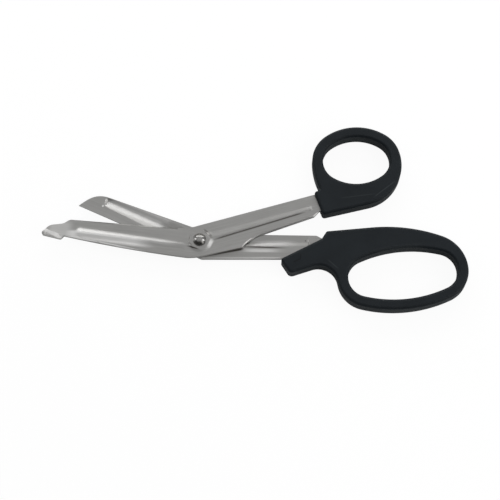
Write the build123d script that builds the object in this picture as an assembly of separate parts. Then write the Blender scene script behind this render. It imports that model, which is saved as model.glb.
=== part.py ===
from build123d import *
import math
import os

# Bandage scissors: two stamped steel members turn on one rivet, and each carries a moulded handle.
# While a piece is made, the pivot is the origin, x runs to the handles, y to the thumb side and
# z out of the face with the rivet's domed head. The two members meet on the plane z = 0.

# Steel sheet
SHEET = 1.8
BLADE_GAP = 0.1
EDGE_LAND = 0.8
BEVEL_WIDTH = 0.7
BEVEL_START = 4.0
CUT_MARGIN = 2.0

# Front member, which carries the foot and the thumb handle, with its shank along x
REST_ANGLE = 15.7
FRONT_OUTER = 6.5
FRONT_INNER = 7.35
FRONT_WIDE_DROP = 0.8
FRONT_WIDE_END = 17.2
FRONT_STEP = 10.5
FRONT_NECK = 4.75
FRONT_SHANK = 50.9
FRONT_SHANK_END = 3.1
FRONT_HEEL = 3.8
FRONT_EDGE = 50.9
FRONT_EDGE_ANGLE = 20.7
FRONT_BLADE_WIDTH = 12.8
FRONT_TIP_WIDTH = 7.75
FRONT_SPINE_BULGE = 0.7
FRONT_HEEL_RUN = 5.5

# Blunt foot at the end of the front blade, with a lip turned out of the sheet
FOOT_LENGTH = 12.8
FOOT_TOE = 7.9
FOOT_DROP = 1.6
FOOT_BROW = 9.0
FOOT_BROW_DEPTH = 3.5
FOOT_NECK = 3.0
FOOT_NECK_DEPTH = 2.3
SOLE_START = 3.6
SPINE_RUN = 2.2
TOE_ROUND = 0.9
BROW_ROUND = 4.0
NECK_ROUND = 3.0
LIP_THICKNESS = 1.9
LIP_HEIGHT = 1.9

# Rear member, which carries the finger handle, with its shank along x
REAR_OUTER = 7.85
REAR_INNER = 6.6
REAR_WIDE_END = 18.5
REAR_STEP = 9.5
REAR_NECK = 2.95
REAR_SHANK = 50.9
REAR_SHANK_END = 2.6
REAR_HEEL = 0.8
REAR_EDGE = 59.15
REAR_EDGE_ANGLE = 24.3
REAR_BLADE_WIDTH = 12.1
REAR_TIP_WIDTH = 8.75
REAR_TIP_ROUND = 11.0
REAR_TIP_LEAN = 28.0
REAR_TIP_FULLNESS = 1.3

# Pressed beads and ribs: each rises from a line along its lower side, and falls to its upper side
FORM_ROOT = 0.45
NOSE_TOP = 0.3
FRONT_BEAD_TIP = 4.2
FRONT_BEAD_TIP_EDGE = 6.45
FRONT_BEAD_TIP_WIDTH = 3.9
FRONT_BEAD_TIP_WALL = 1.5
FRONT_BEAD_TIP_HEIGHT = 0.8
FRONT_BEAD_HEEL = 0.35
FRONT_BEAD_HEEL_EDGE = 8.5
FRONT_BEAD_HEEL_WIDTH = 1.8
FRONT_BEAD_HEEL_WALL = 0.45
FRONT_BEAD_HEEL_HEIGHT = 0.4
REAR_BEAD_TIP = 11.0
REAR_BEAD_TIP_EDGE = 4.75
REAR_BEAD_TIP_WIDTH = 3.0
REAR_BEAD_TIP_WALL = 1.4
REAR_BEAD_TIP_HEIGHT = 0.5
REAR_BEAD_HEEL = 12.0
REAR_BEAD_HEEL_EDGE = 3.6
REAR_BEAD_HEEL_WIDTH = 4.8
REAR_BEAD_HEEL_WALL = 1.9
REAR_BEAD_HEEL_HEIGHT = 0.65
FRONT_RIB_START = 4.0
FRONT_RIB_START_LOW = 1.3
FRONT_RIB_START_WIDTH = 3.5
FRONT_RIB_START_WALL = 0.45
FRONT_RIB_START_HEIGHT = 0.42
FRONT_RIB_END_LOW = 0.15
FRONT_RIB_END_WIDTH = 2.1
FRONT_RIB_END_WALL = 0.5
FRONT_RIB_END_HEIGHT = 0.28
FRONT_RIB_END_GAP = 2.3
REAR_RIB_START = 6.6
REAR_RIB_LOW = 2.2
REAR_RIB_WIDTH = 4.6
REAR_RIB_WALL = 2.2
REAR_RIB_START_HEIGHT = 0.95
REAR_RIB_END_HEIGHT = 0.35
REAR_RIB_END_GAP = 0.8

# Pivot
BOSS_TOP = 4.3
BOSS_FOOT = 5.15
BOSS_SHIFT = 0.65
BOSS_SHIFT_TURN = -72.0
BOSS_HEIGHT = 0.7
RIVET_DIAMETER = 4.0
RIVET_CLEARANCE = 0.05
RIVET_HEAD = 5.7
RIVET_RIM = 0.3
RIVET_DOME = 1.6
SHOP_HEAD = 5.4
SHOP_HEAD_HEIGHT = 1.1
SHOP_HEAD_ROUND = 0.5

# Tangs inside the handles
TANG_CHAMFER = 3.0
TANG_LENGTH = 19.0
FRONT_TANG_LOW = 1.3
FRONT_TANG_HIGH = 3.2
REAR_TANG_LOW = 3.4
REAR_TANG_HIGH = 1.0
TANG_ROUND = 1.5
TANG_CLEARANCE = 0.05

# Moulded handles
HANDLE_THICKNESS = 8.0
HANDLE_EDGE = 0.8
COLLAR_ROUND = 1.0
CORNER_ROUND = 1.3

# Thumb handle, in the front member's frame
RING_SET = 3.35
RING_NEAR = 20.95
RING_LENGTH = 29.5
RING_WIDTH = 21.8
RING_END = 9.2
RING_TURN = -13.5
RING_BAND = 4.7
THUMB_FACE = 53.8
THUMB_FACE_LEAN = 1.0
THUMB_COLLAR = 0.9
THUMB_COLLAR_LENGTH = 3.0
THUMB_UNDERSIDE = 3.75
THUMB_UNDERSIDE_SLOPE = -2.4
BELLY_EXTRA = 5.25

# Finger handle, in the rear member's frame
LOOP_SET = 24.8
LOOP_DROP = 18.4
LOOP_LENGTH = 47.6
LOOP_WIDTH = 22.7
LOOP_END = 8.8
LOOP_TURN = 6.0
LOOP_BAND = 4.6
FINGER_FACE = 34.9
FINGER_FACE_LOW = 9.0
FINGER_FACE_RUN = 18.1
FINGER_FACE_RISE = 9.2
FINGER_TOP_START = 55.2
FINGER_TOP_LOW = 3.65
FINGER_TOP_SLOPE = 5.2
CREST_EXTRA = 53.6
SHOULDER_EXTRA = 3.4
CHIN_REACH = 4.2
CHIN_DROP = 6.5
CHIN_ROUND = 2.2
THROAT_ROUND = 8.5

HALF_GAP = BLADE_GAP / 2
OUTER_FACE = HALF_GAP + SHEET
SEAT = OUTER_FACE + BOSS_HEIGHT


def heading(angle):
    """Direction in the flat at an angle from x."""
    return Vector(math.cos(math.radians(angle)), math.sin(math.radians(angle)))


def on_edge(heel, angle, side):
    """Gives places along a cutting edge: u from the heel to the tip, v from the edge to the spine."""
    run = heading(180 - angle)
    across = heading(90 - angle) * side
    return lambda u, v: heel + run * u + across * v


FRONT_HEEL_POINT = Vector(-FRONT_HEEL, FRONT_OUTER)
REAR_HEEL_POINT = Vector(REAR_HEEL, -REAR_OUTER)
front_place = on_edge(FRONT_HEEL_POINT, FRONT_EDGE_ANGLE, -1)
rear_place = on_edge(REAR_HEEL_POINT, REAR_EDGE_ANGLE, 1)
RING_ALONG = heading(RING_TURN)
RING_NEAR_END = Vector(THUMB_FACE + RING_SET, RING_NEAR)
RING_MIDDLE = RING_NEAR_END + RING_ALONG * (RING_BAND + RING_LENGTH / 2)
LOOP_ALONG = heading(LOOP_TURN)
LOOP_NEAR_END = Vector(FINGER_FACE + LOOP_SET, -LOOP_DROP)
LOOP_MIDDLE = LOOP_NEAR_END + LOOP_ALONG * (LOOP_BAND + LOOP_LENGTH / 2)


def corners(face, points, radius):
    """Rounds the corners of a flat outline that lie nearest to the given points."""
    chosen = [face.vertices().sort_by_distance(point)[0] for point in points]
    return fillet(chosen, radius)


def front_tang():
    """Outline of the front shank's end and tang, from ahead of the handle's face to the tang's end."""
    end = FRONT_SHANK + TANG_CHAMFER
    tip = end + TANG_LENGTH
    outline = Polyline(
        (FRONT_SHANK, FRONT_OUTER),
        (end, FRONT_OUTER),
        (end + TANG_CHAMFER, FRONT_TANG_HIGH),
        (tip, FRONT_TANG_HIGH),
        (tip, -FRONT_TANG_LOW),
        (end, -FRONT_TANG_LOW),
        (FRONT_SHANK, -FRONT_SHANK_END),
        close=True,
    )
    face = make_face(outline)
    return fillet(face.vertices().sort_by(Axis.X)[-2:], TANG_ROUND)


def rear_tang():
    """Outline of the rear shank's end and tang, from ahead of the handle's face to the tang's end."""
    end = REAR_SHANK + TANG_CHAMFER
    tip = end + TANG_LENGTH
    start = FINGER_FACE - TANG_CHAMFER
    outline = Polyline(
        (start, -REAR_OUTER),
        (REAR_SHANK, -REAR_OUTER),
        (end + TANG_CHAMFER, -REAR_TANG_LOW),
        (tip, -REAR_TANG_LOW),
        (tip, REAR_TANG_HIGH),
        (end, REAR_TANG_HIGH),
        (REAR_SHANK, REAR_SHANK_END),
        (start, REAR_SHANK_END),
        close=True,
    )
    face = make_face(outline)
    return fillet(face.vertices().sort_by(Axis.X)[-2:], TANG_ROUND)


def foot_corners():
    """Corners of the blunt foot, from the spine round the sole and toe to the cutting edge."""
    tip = FRONT_EDGE
    return {
        "spine": front_place(tip + SPINE_RUN, FRONT_TIP_WIDTH),
        "sole": front_place(tip + SOLE_START, FRONT_TIP_WIDTH + FOOT_DROP),
        "toe": front_place(tip + FOOT_LENGTH, FOOT_TOE),
        "brow": front_place(tip + FOOT_BROW, FOOT_BROW_DEPTH),
        "neck": front_place(tip + FOOT_NECK, FOOT_NECK_DEPTH),
        "shoulder": front_place(tip, 0),
    }


def front_blank():
    """Flat outline of the front member: shank, step beside the rivet, blade and foot."""
    foot = foot_corners()
    spine_start = front_place(0, FRONT_BLADE_WIDTH)
    half_width = (FRONT_BLADE_WIDTH + FRONT_TIP_WIDTH) / 2
    spine_middle = front_place(FRONT_EDGE / 2, half_width + FRONT_SPINE_BULGE)
    heel_end = Vector(FRONT_HEEL_RUN - FRONT_HEEL, -FRONT_INNER)
    wide_end = Vector(FRONT_WIDE_END, -FRONT_INNER - FRONT_WIDE_DROP)
    neck = Vector(FRONT_WIDE_END + FRONT_STEP, -FRONT_NECK)
    corner = Vector(FRONT_SHANK, -FRONT_SHANK_END)
    spine = ThreePointArc(foot["spine"], spine_middle, spine_start)
    outline = make_face([
        Polyline(foot["shoulder"], FRONT_HEEL_POINT, (FRONT_SHANK, FRONT_OUTER), corner, neck),
        Spline(neck, wide_end, tangents=[neck - corner, (-1, -1)]),
        Line(wide_end, heel_end),
        Spline(heel_end, spine_start, tangents=[heel_end - wide_end, -(spine % 1)]),
        spine,
        Polyline(*foot.values()),
    ])
    outline = corners(outline, [foot["sole"], foot["toe"]], TOE_ROUND)
    outline = corners(outline, [foot["neck"]], NECK_ROUND)
    return corners(outline, [foot["brow"]], BROW_ROUND)


def rear_blank():
    """Flat outline of the rear member: shank, step beside the rivet and pointed blade."""
    place = rear_place
    tip = place(REAR_EDGE, 0)
    round_start = place(REAR_EDGE - REAR_TIP_ROUND, REAR_TIP_WIDTH)
    spine_start = place(0, REAR_BLADE_WIDTH)
    lean = (round_start - spine_start).normalized()
    wide_start = spine_start - lean * ((spine_start.Y - REAR_INNER) / lean.Y)
    wide_end = Vector(REAR_WIDE_END, REAR_INNER)
    neck = Vector(REAR_WIDE_END + REAR_STEP, REAR_NECK)
    corner = Vector(REAR_SHANK, REAR_SHANK_END)
    tip_run = heading(-90 - REAR_EDGE_ANGLE - REAR_TIP_LEAN)
    return make_face([
        Polyline(tip, REAR_HEEL_POINT, (REAR_SHANK, -REAR_OUTER), corner, neck),
        Spline(neck, wide_end, tangents=[neck - corner, (-1, 0)]),
        Polyline(wide_end, wide_start, round_start),
        Spline(round_start, tip, tangents=[lean, tip_run], tangent_scalars=[REAR_TIP_FULLNESS] * 2),
    ])


def wedge(start, end, start_size, end_size):
    """Long pressed form: a steep side on the line from start to end, and a gentle side to its left."""
    along = end - start
    across = Vector(-along.Y, along.X)
    sections = []
    for point, (width, wall, height) in ((start, start_size), (end, end_size)):
        outline = Polyline(
            (0, -FORM_ROOT), (0, 0), (wall, height), (width, 0), (width, -FORM_ROOT), close=True)
        sections.append(Plane(origin=point, x_dir=across, z_dir=along) * make_face(outline))
    return loft(sections, ruled=True)


def mound(foot, foot_radius, top, top_radius, height):
    """Round pressed form, standing proud of the plane z = 0 and rooted a little below it."""
    spread = 1 + FORM_ROOT / height
    low = top + (foot - top) * spread
    low_radius = top_radius + (foot_radius - top_radius) * spread
    base = Pos(low.X, low.Y, -FORM_ROOT) * Circle(low_radius)
    return loft([base, Pos(top.X, top.Y, height) * Circle(top_radius)])


def nose(point, towards, size):
    """Round end of a wedge, whose steep side is on the line from this point towards another."""
    width, wall, height = size
    along = (towards - point).normalized()
    across = Vector(-along.Y, along.X)
    return mound(point + across * width / 2, width / 2, point + across * wall, NOSE_TOP, height)


def boss():
    """Raised seat around the rivet, with its skirt wider on one side."""
    return mound(heading(BOSS_SHIFT_TURN) * BOSS_SHIFT, BOSS_FOOT, Vector(0, 0), BOSS_TOP, BOSS_HEIGHT)


def press(sheet, forms):
    """Presses forms out of a sheet: each stands proud of the outer face and hollows the inner face."""
    for form in forms:
        sheet = sheet + Pos(0, 0, OUTER_FACE) * form
    for form in forms:
        sheet = sheet - Pos(0, 0, HALF_GAP) * form
    return sheet


def ground_bevel(place, length):
    """Wedge that the grinding takes off the outer face along a cutting edge."""
    slope = (SHEET - EDGE_LAND) / BEVEL_WIDTH
    origin = place(BEVEL_START, 0)
    along = place(1, 0) - place(0, 0)
    inward = place(0, 1) - place(0, 0)
    plane = Plane(origin=origin, x_dir=inward, z_dir=along)
    up = 1 if plane.y_dir.Z > 0 else -1
    section = Polyline(
        (-CUT_MARGIN, up * (HALF_GAP + EDGE_LAND - CUT_MARGIN * slope)),
        (BEVEL_WIDTH, up * OUTER_FACE),
        (BEVEL_WIDTH, up * (OUTER_FACE + CUT_MARGIN)),
        (-CUT_MARGIN, up * (OUTER_FACE + CUT_MARGIN)),
        close=True,
    )
    return extrude(plane * make_face(section), length, dir=along)


def rivet_hole():
    """Hole that the rivet turns in."""
    return Cylinder(RIVET_DIAMETER / 2 + RIVET_CLEARANCE, 2 * (SEAT + CUT_MARGIN))


def foot_lip():
    """Lip of the blunt foot: a wall that rises along the sole, with a crown that falls at both ends."""
    foot = foot_corners()
    along = (foot["toe"] - foot["sole"]).normalized()
    across = Vector(-along.Y, along.X)
    strip = make_face(Polyline(
        foot["sole"] - along * SOLE_START,
        foot["toe"] + along * TOE_ROUND,
        foot["toe"] + along * TOE_ROUND - across * LIP_THICKNESS,
        foot["sole"] - along * SOLE_START - across * LIP_THICKNESS,
        close=True,
    ))
    top = OUTER_FACE + LIP_HEIGHT
    wall = Pos(0, 0, HALF_GAP) * extrude(front_blank() & strip, top - HALF_GAP)
    middle = (foot["sole"] + foot["toe"]) / 2
    half = (foot["toe"] - foot["sole"]).length / 2
    crown = Plane(origin=middle, x_dir=along, z_dir=across) * Ellipse(half, top)
    return wall & extrude(crown, 2 * LIP_THICKNESS, both=True)


def front_bead():
    """Bead along the front blade, widest at the foot and drawn out towards the rivet."""
    tip = front_place(FRONT_EDGE - FRONT_BEAD_TIP, FRONT_BEAD_TIP_EDGE)
    heel = front_place(FRONT_BEAD_HEEL, FRONT_BEAD_HEEL_EDGE)
    tip_size = (FRONT_BEAD_TIP_WIDTH, FRONT_BEAD_TIP_WALL, FRONT_BEAD_TIP_HEIGHT)
    heel_size = (FRONT_BEAD_HEEL_WIDTH, FRONT_BEAD_HEEL_WALL, FRONT_BEAD_HEEL_HEIGHT)
    return [wedge(tip, heel, tip_size, heel_size), nose(tip, heel, tip_size)]


def front_rib():
    """Rib along the front shank, from under the boss to a round nose short of the thumb handle."""
    start = Vector(FRONT_RIB_START, -FRONT_RIB_START_LOW)
    end = Vector(THUMB_FACE - FRONT_RIB_END_GAP - FRONT_RIB_END_WIDTH / 2, -FRONT_RIB_END_LOW)
    start_size = (FRONT_RIB_START_WIDTH, FRONT_RIB_START_WALL, FRONT_RIB_START_HEIGHT)
    end_size = (FRONT_RIB_END_WIDTH, FRONT_RIB_END_WALL, FRONT_RIB_END_HEIGHT)
    return [wedge(start, end, start_size, end_size), nose(end, end * 2 - start, end_size)]


def front_blade():
    sheet = Pos(0, 0, HALF_GAP) * extrude(front_blank() + front_tang(), SHEET)
    sheet = press(sheet, [*front_bead(), *front_rib(), boss()])
    return sheet - ground_bevel(front_place, FRONT_EDGE) - rivet_hole() + foot_lip()


def rear_bead():
    """Bead along the rear blade, widest at the heel."""
    tip = rear_place(REAR_EDGE - REAR_BEAD_TIP, REAR_BEAD_TIP_EDGE)
    heel = rear_place(REAR_BEAD_HEEL, REAR_BEAD_HEEL_EDGE)
    tip_size = (REAR_BEAD_TIP_WIDTH, REAR_BEAD_TIP_WALL, REAR_BEAD_TIP_HEIGHT)
    heel_size = (REAR_BEAD_HEEL_WIDTH, REAR_BEAD_HEEL_WALL, REAR_BEAD_HEEL_HEIGHT)
    return [wedge(tip, heel, tip_size, heel_size), nose(tip, heel, tip_size)]


def rear_rib():
    """Broad rib along the rear shank, which runs out ahead of the finger handle's slanted face."""
    face_x = FINGER_FACE + FINGER_FACE_RUN * (FINGER_FACE_LOW - REAR_RIB_LOW) / FINGER_FACE_RISE
    start = Vector(REAR_RIB_START, -REAR_RIB_LOW)
    end = Vector(face_x - REAR_RIB_END_GAP, -REAR_RIB_LOW)
    start_size = (REAR_RIB_WIDTH, REAR_RIB_WALL, REAR_RIB_START_HEIGHT)
    end_size = (REAR_RIB_WIDTH, REAR_RIB_WALL, REAR_RIB_END_HEIGHT)
    return wedge(start, end, start_size, end_size)


def rear_blade():
    sheet = Pos(0, 0, HALF_GAP) * extrude(rear_blank() + rear_tang(), SHEET)
    sheet = press(sheet, [*rear_bead(), rear_rib(), boss()])
    sheet = sheet - ground_bevel(rear_place, REAR_EDGE) - rivet_hole()
    return mirror(sheet, Plane.XY)


def pivot_rivet():
    """Rivet with a domed head in front and a headed-over end at the back, turned about z."""
    shank = RIVET_DIAMETER / 2
    head = RIVET_HEAD / 2
    ball = (head ** 2 + RIVET_DOME ** 2) / (2 * RIVET_DOME)
    seat = SEAT + RIVET_CLEARANCE
    rim = seat + RIVET_RIM
    profile = make_face([
        Polyline(
            (0, rim + RIVET_DOME),
            (0, -seat - SHOP_HEAD_HEIGHT),
            (SHOP_HEAD / 2 - SHOP_HEAD_ROUND, -seat - SHOP_HEAD_HEIGHT),
            (SHOP_HEAD / 2, -seat - SHOP_HEAD_HEIGHT + SHOP_HEAD_ROUND),
            (SHOP_HEAD / 2, -seat),
            (shank, -seat),
            (shank, seat),
            (head, seat),
            (head, rim),
        ),
        RadiusArc((head, rim), (0, rim + RIVET_DOME), -ball),
    ])
    return revolve(Plane.XZ * profile, Axis.Z)


def oval(middle, turn, length, width, end_radius, band=0):
    """Oval of four tangent arcs, or the oval a band's width outside it."""
    half_width = width / 2
    end_offset = length / 2 - end_radius
    side_radius = (end_offset ** 2 + half_width ** 2 - end_radius ** 2) / (2 * (half_width - end_radius))
    side_offset = side_radius - half_width
    meet = math.degrees(math.atan2(side_offset, end_offset))
    across = 180 - 2 * meet
    end = end_radius + band
    side = side_radius + band
    return Pos(middle) * Rot(0, 0, turn) * make_face([
        CenterArc((end_offset, 0), end, -meet, 2 * meet),
        CenterArc((0, -side_offset), side, meet, across),
        CenterArc((-end_offset, 0), end, 180 - meet, 2 * meet),
        CenterArc((0, side_offset), side, 180 + meet, across),
    ])


def blend_arc(start, angle, side, centre, radius, extra):
    """Arc that leaves a straight rim and runs smoothly into a round end of smaller radius."""
    along = heading(angle)
    inward = heading(angle + 90 * side)
    spare = (centre - start).dot(inward) - radius
    run = (centre - start).dot(along) - math.sqrt(spare * (2 * extra - spare))
    touch = start + along * run
    middle = touch + inward * (radius + extra)
    return TangentArc(touch, middle + (centre - middle).normalized() * (radius + extra), tangent=along)


def moulded(outline, hole):
    """Handle of even thickness with an oval hole, all its rims broken for the hand."""
    solid = extrude(outline - hole, HANDLE_THICKNESS / 2, both=True)
    return chamfer(solid.faces().filter_by(Plane.XY).edges(), HANDLE_EDGE)


def tang_pocket(tang, outer):
    """Space that the tang fills in its handle, with the moulding's clearance all round."""
    grown = offset(tang, TANG_CLEARANCE)
    pocket = Pos(0, 0, HALF_GAP - TANG_CLEARANCE) * extrude(grown, SHEET + 2 * TANG_CLEARANCE)
    return pocket if outer > 0 else mirror(pocket, Plane.XY)


def thumb_handle():
    """Handle with the thumb ring, which runs into a body around the tang."""
    ring = (RING_MIDDLE, RING_TURN, RING_LENGTH, RING_WIDTH, RING_END)
    far_centre = RING_MIDDLE + RING_ALONG * (RING_LENGTH / 2 - RING_END)
    low_face = Vector(THUMB_FACE + THUMB_FACE_LEAN, -THUMB_UNDERSIDE)
    belly = blend_arc(low_face, THUMB_UNDERSIDE_SLOPE, 1, far_centre, RING_END + RING_BAND, BELLY_EXTRA)
    collar = Vector(THUMB_FACE, FRONT_OUTER + THUMB_COLLAR)
    collar_back = collar + Vector(THUMB_COLLAR_LENGTH, 0)
    body = make_face([
        TangentArc(RING_NEAR_END, collar_back, tangent=heading(RING_TURN - 90)),
        Polyline(collar_back, collar, low_face, belly @ 0),
        belly,
        Polyline(belly @ 1, RING_MIDDLE, RING_NEAR_END),
    ])
    outline = oval(*ring, RING_BAND) + body
    outline = corners(outline, [collar_back], COLLAR_ROUND)
    outline = corners(outline, [collar, low_face], CORNER_ROUND)
    return moulded(outline, oval(*ring)) - tang_pocket(front_tang(), 1)


def finger_handle():
    """Handle with the finger loop, whose roof carries the tang and ends in a nose before the fingers."""
    loop = (LOOP_MIDDLE, LOOP_TURN, LOOP_LENGTH, LOOP_WIDTH, LOOP_END)
    far = LOOP_MIDDLE + LOOP_ALONG * (LOOP_LENGTH / 2 + LOOP_BAND)
    roof = LOOP_MIDDLE + Vector(0, LOOP_WIDTH / 2 + LOOP_BAND)
    face_low = Vector(FINGER_FACE, -FINGER_FACE_LOW)
    face_high = face_low + Vector(FINGER_FACE_RUN, FINGER_FACE_RISE)
    chin = face_low + Vector(CHIN_REACH, -CHIN_DROP)
    top_start = Vector(FINGER_TOP_START, FINGER_TOP_LOW)
    shoulder_round = LOOP_END + LOOP_BAND + SHOULDER_EXTRA
    shoulder = far - LOOP_ALONG * shoulder_round
    crest = blend_arc(top_start, FINGER_TOP_SLOPE, -1, shoulder, shoulder_round, CREST_EXTRA)
    body = make_face([
        crest,
        TangentArc(crest @ 1, far, tangent=crest % 1),
        Polyline(far, LOOP_MIDDLE, roof, chin, face_low, face_high, top_start, crest @ 0),
    ])
    outline = oval(*loop, LOOP_BAND) + body
    outline = corners(outline, [LOOP_MIDDLE - LOOP_ALONG * LOOP_LENGTH / 2], THROAT_ROUND)
    outline = corners(outline, [chin], CHIN_ROUND)
    outline = corners(outline, [face_low, face_high, top_start], CORNER_ROUND)
    return moulded(outline, oval(*loop)) - tang_pocket(rear_tang(), -1)


def assemble():
    """All pieces at rest, with the origin under the middle of the whole."""
    opened = Rot(0, 0, REST_ANGLE)
    pieces = {
        "front_blade": opened * front_blade(),
        "thumb_handle": opened * thumb_handle(),
        "rear_blade": rear_blade(),
        "finger_handle": finger_handle(),
        "pivot_rivet": pivot_rivet(),
    }
    box = Compound(children=[Compound(p.solids()) for p in pieces.values()]).bounding_box()
    home = Pos(-box.center().X, -box.center().Y, -box.min.Z)
    return {name: home * piece for name, piece in pieces.items()}


os.makedirs("parts", exist_ok=True)
for name, piece in assemble().items():
    export_step(piece, f"parts/{name}.step")
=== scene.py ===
import math

import bmesh
import bpy
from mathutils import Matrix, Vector
from mathutils.bvhtree import BVHTree


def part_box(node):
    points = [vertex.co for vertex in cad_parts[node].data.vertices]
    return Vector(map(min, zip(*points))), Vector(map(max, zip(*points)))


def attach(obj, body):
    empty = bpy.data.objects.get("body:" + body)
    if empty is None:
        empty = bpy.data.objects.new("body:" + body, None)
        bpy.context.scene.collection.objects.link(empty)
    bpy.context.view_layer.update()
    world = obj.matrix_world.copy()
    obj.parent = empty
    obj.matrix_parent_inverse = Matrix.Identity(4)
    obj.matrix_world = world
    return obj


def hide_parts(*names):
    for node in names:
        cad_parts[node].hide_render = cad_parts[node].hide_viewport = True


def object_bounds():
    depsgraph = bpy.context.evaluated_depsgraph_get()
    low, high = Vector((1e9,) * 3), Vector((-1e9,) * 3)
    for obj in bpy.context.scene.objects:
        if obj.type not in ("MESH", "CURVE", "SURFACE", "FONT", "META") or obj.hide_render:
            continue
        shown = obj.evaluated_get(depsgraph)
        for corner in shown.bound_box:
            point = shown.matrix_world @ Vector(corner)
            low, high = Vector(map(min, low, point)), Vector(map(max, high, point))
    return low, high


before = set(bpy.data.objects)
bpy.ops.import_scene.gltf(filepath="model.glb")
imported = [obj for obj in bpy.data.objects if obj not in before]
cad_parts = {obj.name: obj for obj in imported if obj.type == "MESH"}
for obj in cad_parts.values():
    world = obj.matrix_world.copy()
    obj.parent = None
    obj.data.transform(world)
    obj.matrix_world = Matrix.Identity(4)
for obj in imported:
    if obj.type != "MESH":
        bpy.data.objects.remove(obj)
cad_low, cad_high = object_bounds()

# Where the rivet stands, the levels of the two sheets and of the handles, and how the members are turned
rivet_low, rivet_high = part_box("pivot_rivet")
pivot = (rivet_low + rivet_high) / 2
MM = 0.001
HANDLE_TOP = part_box("thumb_handle")[1].z
MATING_PLANE = HANDLE_TOP / 2
SHEET = 0.0018
HALF_GAP = 0.00005
FRONT_FACE = MATING_PLANE + HALF_GAP + SHEET
REAR_FACE = MATING_PLANE - HALF_GAP
LEVEL_SLACK = 0.0001
FRONT_SHANK_TURN = 15.7
FRONT_BLADE_TURN = -5.0
REAR_SHANK_TURN = 0.0
REAR_BLADE_TURN = -24.3

# Camera
CAMERA_TILT = 17.0
CAMERA_DISTANCE = 0.7246
CAMERA_LENS = 120.0
CAMERA_SENSOR = 36.0
CAMERA_AIM = Vector((0.021913, -0.003933, 0))

# Rims of the moulded handles and of the stamped steel
RIM_DEPTH = 0.0011
RIM_ROUND = 0.00047
STEEL_ROUND = 0.00025
BRIGHT_CHAMFER = 0.0005
LIP_ROUND = 0.0006
ROUND_STEPS = 3
SHARP_TURN = 25.0
PRESSED_TURN = 40.0
LIP_TURN = 40.0
FLAT_TURN = 0.5
WALL_LIFT = 0.2
FLAT_LIFT = 0.9
RIGHTWARD = 0.3
BORE_REACH = 0.003
SHANK_START = 0.015
SHANK_END = 0.056
FOOT_REACH = 0.055
MERGE_DISTANCE = 1e-6

# Soft bends of the pressed forms: how finely the sheet is cut, and how far around each point it is evened out
CUT_ALONG = 0.0012
CUT_ACROSS = 0.0003
CUT_REACH = 0.030
CUT_MERGE = 1e-7
PRESS_LIFT = 0.65
PRESS_RANGE = 0.0013
SAMPLE_START = 0.003
SAMPLE_WAYS = 8
SAMPLE_RINGS = (0.4, 0.75, 1.0)
BOSS_RADIUS = 0.0075
BOSS_REACH = 0.0008
FRONT_BEND_REACH = 0.0010
FRONT_RIB_REACH = 0.00035
FRONT_BEND_GAIN = 0.0
REAR_BEND_REACH = 0.0001
REAR_RIB_REACH = 0.0004
REAR_BEND_GAIN = 1.0

# The front bead and the rear trough, measured from the rivet
FRONT_BEAD_DEPTH = 1.2
FRONT_BEAD_TURN = -8.7
BEAD_LENGTH = 0.043
BEAD_DROP = 0.0010
REAR_BEAD_DEPTH = 1.8
REAR_TROUGH_TURN = -26.1
TROUGH_TIP = Vector((-0.0395, 0.0188, 0))
TROUGH_HEEL = Vector((-0.0065, 0.0047, 0))
TROUGH_TIP_WIDTH = 0.0030
TROUGH_HEEL_WIDTH = 0.0048
TROUGH_DRAW = 1.19
TROUGH_START = -0.27
TROUGH_BOTTOM = 0.58
TROUGH_END = 2.0
SLOPE_SHARE = 0.25

# Finish of the steel, with the lowest level that its painted highlights and painted shade reach on each sheet
STEEL_DULL = (0.44, 0.435, 0.42, 1)
STEEL_CLEAR = (0.63, 0.627, 0.615, 1)
# Painted highlight tone laid on the steel by the light strokes, and painted shade tone laid by the dark
# strokes
PAINTED_HIGHLIGHT_TONE = (0.97, 0.965, 0.955, 1)
PAINTED_SHADE_TONE = (0.07, 0.058, 0.05, 1)
STEEL_GLOSS = (0.26, 0.40)
STEEL_CLOUD = 90.0
CLOUD_DULLING = 0.06
# Extra roughness under the painted highlight strokes
HIGHLIGHT_STROKE_DULLING = 0.34
LINE_FINENESS = 2600.0
LINE_STRETCH = (0.025, 1.0, 0.4)
LINE_DEPTH = 0.00005
LINE_STRENGTH = 0.10
LINE_MEETING = 0.004
# How far below each sheet's upper face the painted highlights and painted shade still reach
FRONT_STROKE_DEPTH = 0.0009
REAR_STROKE_DEPTH = 0.0013
FRONT_INNER = FRONT_FACE - FRONT_STROKE_DEPTH - pivot.z
REAR_INNER = REAR_FACE - REAR_STROKE_DEPTH - pivot.z

# Finish of the rivet
RIVET_DULL = (0.42, 0.415, 0.405, 1)
RIVET_CLEAR = (0.54, 0.535, 0.52, 1)
# Painted shade that darkens the rivet towards its top and bottom
RIVET_PAINTED_SHADE = (0.17, 0.165, 0.155, 1)
RIVET_GLOSS = (0.20, 0.32)
RIVET_CLOUD = 900.0
# Distances from the rivet's middle line over which the painted shade sets in
PAINTED_SHADE_BAND = (0.0007, 0.0016)

# Finish of the plastic, with the depths below the top between which it turns into a wall
PLASTIC_DARK = (0.0100, 0.0140, 0.0175, 1)
PLASTIC_LIGHT = (0.0140, 0.0192, 0.0236, 1)
# Painted cool tint on the handles' side walls, standing in for the light they reflect
PLASTIC_WALL_PAINTED_TINT = (0.010, 0.0170, 0.0220, 1)
# Painted sheen tone along some handle edges
PLASTIC_PAINTED_SHEEN = (0.050, 0.060, 0.064, 1)
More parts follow.
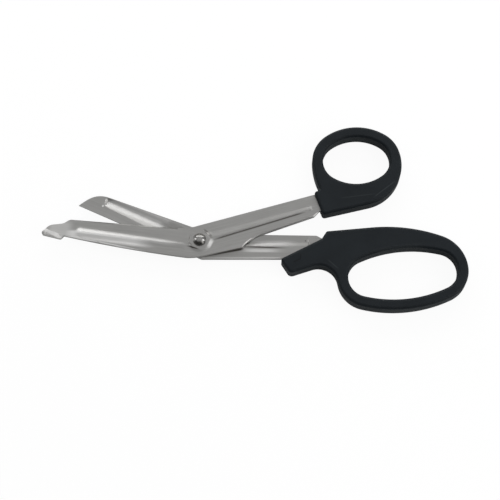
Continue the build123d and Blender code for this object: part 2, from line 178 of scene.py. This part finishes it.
# Painted shade tone along the creases
PLASTIC_PAINTED_CREASE_SHADE = (0.004, 0.005, 0.006, 1)
PLASTIC_GLOSS = (0.46, 0.58)
PLASTIC_SHINE = 0.25
PLASTIC_CLOUD = 110.0
GRAIN_FINENESS = 2200.0
GRAIN_DEPTH = 0.00006
GRAIN_STRENGTH = 0.25
WALL_DEPTHS = (0.0010, 0.0004)
HANDLE_INNER = HANDLE_TOP - WALL_DEPTHS[0] - pivot.z
HANDLE_OUTER = HANDLE_TOP - WALL_DEPTHS[1] - pivot.z

# Table and light
TABLE_GREY = (0.75, 0.75, 0.75, 1)
TABLE_SEEN = (0.11, 0.11, 0.11, 1)
SEEN_GLOW = 0.93
MIRRORED_GLOW = 0.04
TABLE_SIZE = 3.0
ROOM_LIGHT = 0.10


def feed(tree, made, inlets):
    """Gives each inlet of a node a plain value, or joins another node's outlet to it."""
    for key, source in inlets.items():
        if isinstance(source, bpy.types.NodeSocket):
            tree.links.new(source, made.inputs[key])
        else:
            made.inputs[key].default_value = source


def node(tree, kind, inlets, **settings):
    """Adds a node with its settings and what its inlets get."""
    made = tree.nodes.new("ShaderNode" + kind)
    for key, value in settings.items():
        setattr(made, key, value)
    feed(tree, made, inlets)
    return made


def number_of(tree, operation, *values, clamp=False):
    """Number reckoned from one to three others."""
    made = node(tree, "Math", dict(enumerate(values)), operation=operation, use_clamp=clamp)
    return made.outputs["Value"]


def vector_of(tree, operation, *values):
    """Vector reckoned from others."""
    return node(tree, "VectorMath", dict(enumerate(values)), operation=operation).outputs["Vector"]


def measure_of(tree, operation, *values):
    """Number reckoned from vectors: a length, or how far one lies along another."""
    return node(tree, "VectorMath", dict(enumerate(values)), operation=operation).outputs["Value"]


def ranged(tree, value, start=(0, 1), end=(0, 1), smooth=False):
    """Number carried from one range to another and held at its ends."""
    inlets = {"Value": value, "From Min": start[0], "From Max": start[1], "To Min": end[0], "To Max": end[1]}
    shape = "SMOOTHSTEP" if smooth else "LINEAR"
    return node(tree, "MapRange", inlets, interpolation_type=shape).outputs["Result"]


def mixed(tree, share, first, second):
    """Tone between two others, by the share of the second."""
    return node(tree, "Mix", {0: share, 6: first, 7: second}, data_type="RGBA").outputs[2]


def split(tree, vector, axis):
    """One coordinate of a vector."""
    return node(tree, "SeparateXYZ", {"Vector": vector}).outputs[axis]


def places(tree):
    """Place on a piece, as it is and measured from the rivet."""
    place = node(tree, "TexCoord", {}).outputs["Object"]
    return place, vector_of(tree, "SUBTRACT", place, pivot)


def new_material(name):
    """A finish with its nodes and its shader."""
    material = bpy.data.materials.new(name)
    material.use_nodes = True
    tree = material.node_tree
    return material, tree, tree.nodes["Principled BSDF"]


def new_group(name, inputs, output):
    """A shared effect with its own inlets, given as name, kind and start value, and one number for outlet."""
    group = bpy.data.node_groups.new(name, "ShaderNodeTree")
    for label, kind, default in inputs:
        socket = group.interface.new_socket(name=label, in_out="INPUT", socket_type="NodeSocket" + kind)
        if default is not None:
            socket.default_value = default
    group.interface.new_socket(name=output, in_out="OUTPUT", socket_type="NodeSocketFloat")
    return group, group.nodes.new("NodeGroupInput").outputs, group.nodes.new("NodeGroupOutput")


def place_group(tree, group, inlets):
    """Outlet of a shared effect, put into a finish with its own values."""
    placed = tree.nodes.new("ShaderNodeGroup")
    placed.node_tree = group
    feed(tree, placed, inlets)
    return placed.outputs[0]


def brushed_lines_group():
    """Fine lines left by the polishing belt, running along a direction in the flat."""
    group, given, result = new_group(
        "brushed_lines",
        [("Vector", "Vector", None), ("Turn", "Float", 0.0), ("Fineness", "Float", LINE_FINENESS)],
        "Lines",
    )
    turned = node(
        group, "VectorRotate", {"Vector": given["Vector"], "Angle": given["Turn"]}, rotation_type="Z_AXIS")
    stretched = vector_of(group, "MULTIPLY", turned.outputs["Vector"], LINE_STRETCH)
    noise = node(
        group, "TexNoise",
        {"Vector": stretched, "Scale": given["Fineness"], "Detail": 3.0, "Roughness": 0.6})
    feed(group, result, {"Lines": noise.outputs["Fac"]})
    return group


def mottle_group():
    """Soft cloudy change over a surface, between 0 and 1."""
    group, given, result = new_group(
        "mottle", [("Vector", "Vector", None), ("Scale", "Float", STEEL_CLOUD)], "Cloud")
    noise = node(
        group, "TexNoise",
        {"Vector": given["Vector"], "Scale": given["Scale"], "Detail": 4.0, "Roughness": 0.55})
    feed(group, result, {"Cloud": ranged(group, noise.outputs["Fac"], (0.3, 0.7))})
    return group


def stroke_group():
    """Straight soft stroke on the upper side of a piece, fading beside its line and at both ends."""
    group, given, result = new_group(
        "stroke",
        [
            ("Vector", "Vector", None), ("Start", "Vector", None), ("End", "Vector", None),
            ("Half Width", "Float", 0.0002), ("Fade", "Float", 0.0005), ("Lowest", "Float", 0.0),
            ("Strength", "Float", 1.0), ("Tail", "Float", 0.3),
        ],
        "Mask",
    )
    flat = vector_of(group, "MULTIPLY", given["Vector"], (1, 1, 0))
    from_start = vector_of(group, "SUBTRACT", flat, given["Start"])
    run = vector_of(group, "SUBTRACT", given["End"], given["Start"])
    along = measure_of(group, "DOT_PRODUCT", from_start, run)
    whole = measure_of(group, "DOT_PRODUCT", run, run)
    share = number_of(group, "DIVIDE", along, whole, clamp=True)
    nearest = node(group, "VectorMath", {0: run, "Scale": share}, operation="SCALE").outputs["Vector"]
    gap = measure_of(group, "LENGTH", vector_of(group, "SUBTRACT", from_start, nearest))
    outer = number_of(group, "ADD", given["Half Width"], given["Fade"])
    beside = ranged(group, gap, (given["Half Width"], outer), (1, 0), smooth=True)
    upper = number_of(group, "GREATER_THAN", split(group, given["Vector"], "Z"), given["Lowest"])
    from_end = number_of(group, "PINGPONG", share, 0.5)
    tail = ranged(group, from_end, (0, given["Tail"]), smooth=True)
    seen = number_of(group, "MULTIPLY", beside, upper)
    scaled = number_of(group, "MULTIPLY", seen, given["Strength"])
    feed(group, result, {"Mask": number_of(group, "MULTIPLY", scaled, tail)})
    return group


BRUSHED_LINES = brushed_lines_group()
MOTTLE = mottle_group()
STROKE = stroke_group()


def strokes(tree, place, lines, lowest):
    """The strongest of several strokes, none of them below a level."""
    strongest = None
    for start, end, half_width, fade, strength, tail in lines:
        mark = place_group(tree, STROKE, {
            "Vector": place, "Start": Vector((*start, 0)) * MM, "End": Vector((*end, 0)) * MM,
            "Half Width": half_width * MM, "Fade": fade * MM, "Lowest": lowest,
            "Strength": strength, "Tail": tail,
        })
        strongest = mark if strongest is None else number_of(tree, "MAXIMUM", strongest, mark)
    return strongest


def brushed_steel(name, shank_turn, blade_turn, highlight_strokes, shade_strokes, lowest):
    """Satin sheet steel, polished along the shank right of the rivet and along the blade left of it, with
    painted highlights and painted shade laid on by strokes.
    """
    material, tree, shader = new_material(name)
    centred = places(tree)[1]
    on_shank = ranged(tree, split(tree, centred, "X"), (-LINE_MEETING, LINE_MEETING))
    blade_lines, shank_lines = (
        place_group(tree, BRUSHED_LINES, {
            "Vector": centred, "Turn": -math.radians(turn), "Fineness": LINE_FINENESS})
        for turn in (blade_turn, shank_turn))
    lines = node(tree, "Mix", {0: on_shank, 2: blade_lines, 3: shank_lines}, data_type="FLOAT").outputs[0]
    cloud = place_group(tree, MOTTLE, {"Vector": centred, "Scale": STEEL_CLOUD})
    highlight_mask = strokes(tree, centred, highlight_strokes, lowest)
    tone = mixed(tree, lines, STEEL_DULL, STEEL_CLEAR)
    # Painted highlights: the light strokes lift the steel's colour towards a near white
    tone = mixed(tree, highlight_mask, tone, PAINTED_HIGHLIGHT_TONE)
    # Painted shade: the dark strokes darken the steel where shadow and dark wall lines fall
    tone = mixed(tree, strokes(tree, centred, shade_strokes, lowest), tone, PAINTED_SHADE_TONE)
    gloss = ranged(tree, lines, end=STEEL_GLOSS)
    gloss = number_of(tree, "MULTIPLY_ADD", cloud, CLOUD_DULLING, gloss)
    gloss = number_of(tree, "MULTIPLY_ADD", highlight_mask, HIGHLIGHT_STROKE_DULLING, gloss)
    bump = node(tree, "Bump", {"Strength": LINE_STRENGTH, "Distance": LINE_DEPTH, "Height": lines})
    feed(tree, shader, {
        "Metallic": 1.0, "Base Color": tone, "Roughness": gloss, "Normal": bump.outputs["Normal"]})
    return material


def polished_rivet():
    """Barrel-polished rivet, smoother than the blades, with painted shade away from its middle line that
    darkens its top and bottom.
    """
    material, tree, shader = new_material("polished_rivet")
    place, centred = places(tree)
    cloud = place_group(tree, MOTTLE, {"Vector": place, "Scale": RIVET_CLOUD})
    off_line = number_of(tree, "ABSOLUTE", split(tree, centred, "Y"))
    tone = mixed(tree, cloud, RIVET_DULL, RIVET_CLEAR)
    # Painted shade away from the middle line, dimming the dome's top and bottom highlights
    tone = mixed(tree, ranged(tree, off_line, PAINTED_SHADE_BAND, smooth=True), tone, RIVET_PAINTED_SHADE)
    gloss = ranged(tree, cloud, end=RIVET_GLOSS)
    feed(tree, shader, {"Metallic": 1.0, "Base Color": tone, "Roughness": gloss})
    return material


def moulded_plastic(sheen_strokes, crease_shade_strokes):
    """Satin black plastic with a fine moulding grain and cloudy gloss, a painted cool tint on the side walls,
    painted sheen along some edges and painted shade along creases.
    """
    material, tree, shader = new_material("moulded_plastic")
    place, centred = places(tree)
    cloud = place_group(tree, MOTTLE, {"Vector": place, "Scale": PLASTIC_CLOUD})
    grain = node(
        tree, "TexNoise", {"Vector": place, "Scale": GRAIN_FINENESS, "Detail": 3.0, "Roughness": 0.6})
    on_wall = ranged(tree, split(tree, centred, "Z"), (HANDLE_INNER, HANDLE_OUTER), (1, 0), smooth=True)
    tone = mixed(tree, cloud, PLASTIC_DARK, PLASTIC_LIGHT)
    # Painted cool tint on the side walls
    tone = mixed(tree, on_wall, tone, PLASTIC_WALL_PAINTED_TINT)
    # Painted sheen: light lines along the handles' edges
    tone = mixed(tree, strokes(tree, centred, sheen_strokes, HANDLE_INNER), tone, PLASTIC_PAINTED_SHEEN)
    # Painted shade along creases on the finger handle
    tone = mixed(tree, strokes(tree, centred, crease_shade_strokes, HANDLE_INNER), tone, PLASTIC_PAINTED_CREASE_SHADE)
    gloss = ranged(tree, cloud, end=PLASTIC_GLOSS)
    bump = node(
        tree, "Bump",
        {"Strength": GRAIN_STRENGTH, "Distance": GRAIN_DEPTH, "Height": grain.outputs["Fac"]})
    feed(tree, shader, {
        "Specular IOR Level": PLASTIC_SHINE, "Base Color": tone, "Roughness": gloss,
        "Normal": bump.outputs["Normal"]})
    return material


def white_table():
    """White table: seen as white, with the faint shadow of what lies on it."""
    material, tree, shader = new_material("white_table")
    tree.nodes.remove(shader)
    path = node(tree, "LightPath", {}).outputs
    cover = mixed(tree, path["Is Camera Ray"], TABLE_GREY, TABLE_SEEN)
    seen = number_of(tree, "MULTIPLY", path["Is Camera Ray"], SEEN_GLOW)
    level = number_of(tree, "MULTIPLY_ADD", path["Is Glossy Ray"], MIRRORED_GLOW, seen)
    matt = node(tree, "BsdfDiffuse", {"Color": cover})
    glow = node(tree, "Emission", {"Strength": level})
    both = node(tree, "AddShader", {0: matt.outputs["BSDF"], 1: glow.outputs["Emission"]})
    feed(tree, tree.nodes["Material Output"], {"Surface": both.outputs["Shader"]})
    return material


def dress(node_name, material):
    """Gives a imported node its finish."""
    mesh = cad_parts[node_name].data
    mesh.materials.clear()
    mesh.materials.append(material)


def is_handle_rim(edge):
    """True for the edges of the broken rims around a handle's two flat sides."""
    heights = [vert.co.z for vert in edge.verts]
    near_side = max(heights) < RIM_DEPTH or min(heights) > HANDLE_TOP - RIM_DEPTH
    return near_side and edge.calc_face_angle() > math.radians(SHARP_TURN)


def is_stamped_rim(edge):
    """True for the edges between a flat side of the sheet and the cut wall around it."""
    lift = sorted(abs(face.normal.z) for face in edge.link_faces)
    from_rivet = min((vert.co - pivot).to_2d().length for vert in edge.verts)
    return lift[0] < WALL_LIFT and lift[1] > FLAT_LIFT and from_rivet > BORE_REACH


def is_bright_rim(edge):
    """True for the front shank's upper rims that look to the right, broken more by the stamping."""
    wall = min(edge.link_faces, key=lambda face: abs(face.normal.z))
    upper = min(vert.co.z for vert in edge.verts) > FRONT_FACE - LEVEL_SLACK
    on_shank = all(SHANK_START < vert.co.x - pivot.x < SHANK_END for vert in edge.verts)
    return upper and on_shank and is_stamped_rim(edge) and wall.normal.x > RIGHTWARD


def is_lip_edge(edge):
    """True for the edges of the lip that stands up from the foot."""
    lifted = max(vert.co.z for vert in edge.verts) > FRONT_FACE + 2 * LEVEL_SLACK
    at_foot = max(vert.co.x for vert in edge.verts) < pivot.x - FOOT_REACH
    return lifted and at_foot and edge.calc_face_angle() > math.radians(LIP_TURN)


def round_edges(bm, picked, amount, steps):
    """Rounds the picked edges, or breaks them when there is one step."""
    edges = [edge for edge in bm.edges if edge.is_manifold and picked(edge)]
    bmesh.ops.bevel(
        bm, geom=edges, offset=amount, offset_type="OFFSET", segments=steps,
        profile=0.5, affect="EDGES", material=-1, clamp_overlap=True,
    )


def cut_across(bm, faces, turn, spacing, first, last):
    """Cuts faces at even spacing from the rivet, square to a direction turned in the flat."""
    normal = Vector((math.cos(turn), math.sin(turn), 0))
    geom = list({part for face in faces for part in (face, *face.edges, *face.verts)})
    for step in range(math.floor(first / spacing), math.ceil(last / spacing) + 1):
        cut = bmesh.ops.bisect_plane(
            bm, geom=geom, dist=CUT_MERGE, plane_co=pivot + normal * step * spacing, plane_no=normal)
        geom = cut["geom"]
    return [part for part in geom if isinstance(part, bmesh.types.BMFace)]


def bead_place(place):
    """Where the front bead is taken from: its tip lies lower on the softened blade."""
    along = max(0.0, pivot.x - place.x - BOSS_RADIUS)
    return place + Vector((0, BEAD_DROP * along / BEAD_LENGTH, 0))


def trough_place(place):
    """Where the rear trough is taken from: it is drawn out wider, most of all its lower wall."""
    run = TROUGH_HEEL - TROUGH_TIP
    across = Vector((run.y, -run.x, 0)).normalized()
    from_tip = place - pivot - TROUGH_TIP
    below = from_tip.dot(across)
    along = min(max(from_tip.dot(run) / run.length_squared, 0), 1)
    width = TROUGH_TIP_WIDTH + (TROUGH_HEEL_WIDTH - TROUGH_TIP_WIDTH) * along
    share = below / (width * TROUGH_DRAW)
    if place.x > pivot.x - BOSS_RADIUS or share < TROUGH_START or share > TROUGH_END:
        return place
    if share < SLOPE_SHARE:
        taken = (share - TROUGH_START) * TROUGH_BOTTOM / (SLOPE_SHARE - TROUGH_START)
    else:
        taken = TROUGH_BOTTOM + (share - SLOPE_SHARE) * (1 - TROUGH_BOTTOM) / (1 - SLOPE_SHARE)
    return place + across * (taken * width - below)


def is_pressed_level(height, lift, level):
    """True for what belongs to the sheet's upper side or to a shallow form pressed into it."""
    return lift > PRESS_LIFT and abs(height - level) < PRESS_RANGE


def cut_pressed_side(bm, level, shank_turn, blade_turn):
    """Cuts the sheet's upper side finely, along and across the shank and the blade; gives its points."""
    side = [face for face in bm.faces
            if is_pressed_level(face.calc_center_median().z, face.normal.z, level)]
    halves = cut_across(bm, side, 0, 1.0, 0, 0)
    shank = [face for face in halves if face.calc_center_median().x > pivot.x]
    blade = [face for face in halves if face.calc_center_median().x <= pivot.x]
    points = set()
    for faces, turn in ((shank, math.radians(shank_turn)), (blade, math.radians(blade_turn))):
        faces = cut_across(bm, faces, turn, CUT_ALONG, cad_low.x - pivot.x, cad_high.x - pivot.x)
        faces = cut_across(bm, faces, turn + math.pi / 2, CUT_ACROSS, -CUT_REACH, CUT_REACH)
        points.update(vert for face in faces for vert in face.verts)
    return points


def soften_press(bm, level, shank_turn, blade_turn, shank_reach, blade_reach, gain, depth, taken_from):
    """Bends the pressed forms softly: each point of the upper side takes the mean height around it."""
    surface = BVHTree.FromBMesh(bm)
    around = [
        Vector((math.cos(step * math.tau / SAMPLE_WAYS), math.sin(step * math.tau / SAMPLE_WAYS), 0))
        for step in range(SAMPLE_WAYS)]

    def height_at(place):
        """Height of the upper side at a place, or None beside the sheet."""
        start = Vector((place.x, place.y, level + SAMPLE_START))
        hit, normal = surface.ray_cast(start, Vector((0, 0, -1)))[:2]
        return hit.z if hit and is_pressed_level(hit.z, normal.z, level) else None

    heights = {}
    for vert in cut_pressed_side(bm, level, shank_turn, blade_turn):
        on_boss = (vert.co - pivot).to_2d().length < BOSS_RADIUS
        reach = shank_reach if vert.co.x > pivot.x else blade_reach
        width = BOSS_REACH if on_boss else reach + gain * abs(vert.co.z - level)
        if any(height_at(vert.co + way * width) is None for way in around):
            continue
        middle = taken_from(vert.co)
        found = [height_at(middle + way * width * ring) for ring in SAMPLE_RINGS for way in around]
        known = [height for height in found if height is not None]
        if known and (len(known) == len(found) or not on_boss):
            heights[vert] = sum(known) / len(known)
    for vert, height in heights.items():
        on_blade = vert.co.x < pivot.x - BOSS_RADIUS
        vert.co.z = level + (depth if on_blade else 1.0) * (height - level)


def softened(node_name, body, material, rounding, sharp_turn, press=None):
    """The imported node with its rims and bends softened, as the real piece leaves the polishing drum."""
    bm = bmesh.new()
    bm.from_mesh(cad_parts[node_name].data)
    bmesh.ops.remove_doubles(bm, verts=bm.verts, dist=MERGE_DISTANCE)
    bmesh.ops.dissolve_limit(bm, angle_limit=math.radians(FLAT_TURN), verts=bm.verts, edges=bm.edges)
    for picked, amount, steps in rounding:
        round_edges(bm, picked, amount, steps)
    if press:
        bmesh.ops.triangulate(bm, faces=bm.faces)
        soften_press(bm, **press)
    for face in bm.faces:
        face.smooth = True
    for edge in bm.edges:
        if edge.is_manifold:
            edge.smooth = edge.calc_face_angle() < math.radians(sharp_turn)
    mesh = bpy.data.meshes.new(node_name + "_softened")
    bm.to_mesh(mesh)
    bm.free()
    mesh.materials.append(material)
    piece = bpy.data.objects.new(node_name + "_softened", mesh)
    bpy.context.scene.collection.objects.link(piece)
    weighted = piece.modifiers.new("even_shading", "WEIGHTED_NORMAL")
    weighted.keep_sharp = True
    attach(piece, body)
    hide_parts(node_name)


def softbox(name, place, size, power):
    """Soft lamp that faces the middle of the scissors."""
    lamp = bpy.data.lights.new(name, "AREA")
    lamp.shape = "RECTANGLE"
    lamp.size = size[0]
    lamp.size_y = size[1]
    lamp.energy = power
    holder = bpy.data.objects.new(name, lamp)
    holder.location = place
    holder.rotation_euler = (-Vector(place)).to_track_quat("-Z", "Y").to_euler()
    bpy.context.scene.collection.objects.link(holder)


def table():
    """Table top that the handles lie on."""
    bm = bmesh.new()
    bmesh.ops.create_grid(bm, x_segments=1, y_segments=1, size=TABLE_SIZE)
    mesh = bpy.data.meshes.new("table")
    bm.to_mesh(mesh)
    bm.free()
    mesh.materials.append(white_table())
    top = bpy.data.objects.new("table", mesh)
    bpy.context.scene.collection.objects.link(top)


def room():
    """Dim grey light from all round, white where the camera looks past the table."""
    world = bpy.data.worlds.new("room")
    world.use_nodes = True
    tree = world.node_tree
    path = node(tree, "LightPath", {}).outputs
    level = ranged(tree, path["Is Camera Ray"], end=(ROOM_LIGHT, 1))
    feed(tree, tree.nodes["Background"], {"Color": (1, 1, 1, 1), "Strength": level})
    bpy.context.scene.world = world


def camera():
    """Camera above the scissors, leaning towards the finger side."""
    tilt = math.radians(CAMERA_TILT)
    back = Vector((0, -math.sin(tilt), math.cos(tilt)))
    aim = Vector((pivot.x, pivot.y, MATING_PLANE)) + CAMERA_AIM
    data = bpy.data.cameras.new("camera")
    data.lens = CAMERA_LENS
    data.sensor_width = CAMERA_SENSOR
    data.clip_start = 0.01
    data.clip_end = 20.0
    holder = bpy.data.objects.new("camera", data)
    holder.location = aim + back * CAMERA_DISTANCE
    holder.rotation_euler = (-back).to_track_quat("-Z", "Y").to_euler()
    bpy.context.scene.collection.objects.link(holder)
    bpy.context.scene.camera = holder


# Strokes: both ends, half width and fade in millimetres from the rivet, strength, and share faded at each end
# Painted highlights on the front sheet: light bands along the bead and the lower strip, thin light lines
# along the lower edge, the bright crescent at the boss's lower right and the lit lip at the foot
front_painted_highlights = [
    ((-54.5, 4.8), (-8.0, -2.0), 0.6, 1.0, 0.32, 0.2),
    ((-64.0, 4.1), (-18.0, -2.3), 0.9, 1.5, 1.0, 0.25),
    ((-59.5, 2.0), (-43.5, -0.8), 0.12, 0.3, 0.8, 0.1),
    ((-45.5, -0.4), (-19.0, -6.2), 0.12, 0.3, 0.8, 0.1),
    ((6.0, 0.9), (3.4, -4.0), 0.35, 0.8, 0.9, 0.4),
    ((-68.5, 5.2), (-59.3, 0.4), 0.60, 0.8, 0.9, 0.1),
    ((-68.0, 5.0), (-54.0, 4.4), 2.5, 2.5, 0.45, 0.3),
]
# Painted shade on the front sheet: the dark line under the shank rib, the dark slit where the bead ends by
# the boss, and a darkened patch that dims the boss's upper right
front_painted_shade = [
    ((5.0, -0.2), (47.0, 13.1), 0.1, 0.4, 0.75, 0.12),
    ((-6.0, -2.3), (0.5, -4.6), 0.1, 0.35, 0.95, 0.4),
    ((1.4, 5.2), (5.8, 0.8), 0.35, 0.5, 0.5, 0.3),
]
# Painted highlights on the rear sheet: the bright band along the blade's trough, light strips along the shank
# and its lower edge, and a bright dot at the trough's tip
rear_painted_highlights = [
    ((-42.5, 18.6), (-14.5, 6.9), 0.8, 1.3, 0.7, 0.15),
    ((15.0, -1.0), (44.0, -0.4), 0.6, 1.2, 0.30, 0.35),
    ((14.0, -4.0), (38.0, -4.3), 0.2, 1.0, 0.7, 0.4),
    ((0.0, -7.5), (36.0, -7.5), 0.2, 0.2, 0.5, 0.05),
    ((-43.1, 16.0), (-42.1, 16.6), 0.22, 0.28, 1.0, 0.3),
    ((-40.0, 19.1), (-12.0, 8.2), 0.5, 0.8, 0.42, 0.1),
]
# Painted shade on the rear sheet: the shadow cast below the front shank's lower edge, a dark line along the
# shank's rib, and small dark marks near the shank's end and the trough's tip
rear_painted_shade = [
    ((0.0, -6.7), (19.5, -3.2), 0.4, 0.4, 0.9, 0.1),
    ((15.0, -2.2), (40.0, -3.1), 0.08, 0.4, 0.85, 0.4),
    ((45.7, 0.3), (46.5, 0.3), 0.1, 0.2, 0.8, 0.3),
    ((-41.4, 18.9), (-40.2, 18.4), 0.35, 0.4, 0.35, 0.2),
]
# Painted sheen on the handles: light lines along the thumb handle's edges, by the finger handle's nose and
# along the finger loop's inner edge
handle_painted_sheen = [
    ((75.5, 18.6), (86.2, 27.0), 0.08, 0.22, 0.55, 0.2),
    ((60.0, 18.4), (78.5, 20.8), 0.05, 0.30, 0.35, 0.3),
    ((55.0, -9.0), (60.5, -14.0), 0.06, 0.25, 0.5, 0.3),
    ((72.0, -6.5), (100.0, -2.6), 0.40, 1.60, 0.35, 0.4),
]
# Painted shade along two creases on the finger handle
handle_painted_crease_shade = [
    ((43.9, -6.6), (43.5, -9.8), 0.06, 0.25, 0.9, 0.2),
    ((44.2, -8.8), (40.2, -10.8), 0.06, 0.25, 0.9, 0.2),
]

# Finishes
front_steel = brushed_steel(
    "front_steel", FRONT_SHANK_TURN, FRONT_BLADE_TURN, front_painted_highlights, front_painted_shade, FRONT_INNER)
rear_steel = brushed_steel(
    "rear_steel", REAR_SHANK_TURN, REAR_BLADE_TURN, rear_painted_highlights, rear_painted_shade, REAR_INNER)
plastic = moulded_plastic(handle_painted_sheen, handle_painted_crease_shade)
dress("front_blade", front_steel)
dress("rear_blade", rear_steel)
dress("pivot_rivet", polished_rivet())
dress("thumb_handle", plastic)
dress("finger_handle", plastic)

# Softened pieces
front_rounding = [
    (is_lip_edge, LIP_ROUND, ROUND_STEPS),
    (is_bright_rim, BRIGHT_CHAMFER, 1),
    (is_stamped_rim, STEEL_ROUND, ROUND_STEPS),
]
rear_rounding = [(is_stamped_rim, STEEL_ROUND, ROUND_STEPS)]
handle_rounding = [(is_handle_rim, RIM_ROUND, ROUND_STEPS)]
front_press = {
    "level": FRONT_FACE, "shank_turn": FRONT_SHANK_TURN, "blade_turn": FRONT_BEAD_TURN,
    "shank_reach": FRONT_RIB_REACH, "blade_reach": FRONT_BEND_REACH, "gain": FRONT_BEND_GAIN,
    "depth": FRONT_BEAD_DEPTH, "taken_from": bead_place,
}
rear_press = {
    "level": REAR_FACE, "shank_turn": REAR_SHANK_TURN, "blade_turn": REAR_TROUGH_TURN,
    "shank_reach": REAR_RIB_REACH, "blade_reach": REAR_BEND_REACH, "gain": REAR_BEND_GAIN,
    "depth": REAR_BEAD_DEPTH, "taken_from": trough_place,
}
softened("front_blade", "thumb_side", front_steel, front_rounding, PRESSED_TURN, front_press)
softened("rear_blade", "finger_side", rear_steel, rear_rounding, PRESSED_TURN, rear_press)
softened("thumb_handle", "thumb_side", plastic, handle_rounding, SHARP_TURN)
softened("finger_handle", "finger_side", plastic, handle_rounding, SHARP_TURN)

# Table, light and camera
table()
room()
softbox("overhead", (0.0, 0.05, 1.0), (1.6, 1.7), 2.9)
softbox("behind", (0.0, 0.813, 0.385), (1.6, 0.52), 5.2)
softbox("left", (-0.78, 0.2, 0.42), (0.30, 0.40), 0.75)
softbox("right", (0.74, -0.04, 0.5), (0.40, 0.50), 1.3)
softbox("right_front", (0.637, -0.498, 0.395), (0.30, 0.65), 1.2)
camera()
bpy.context.scene.view_settings.view_transform = "Standard"
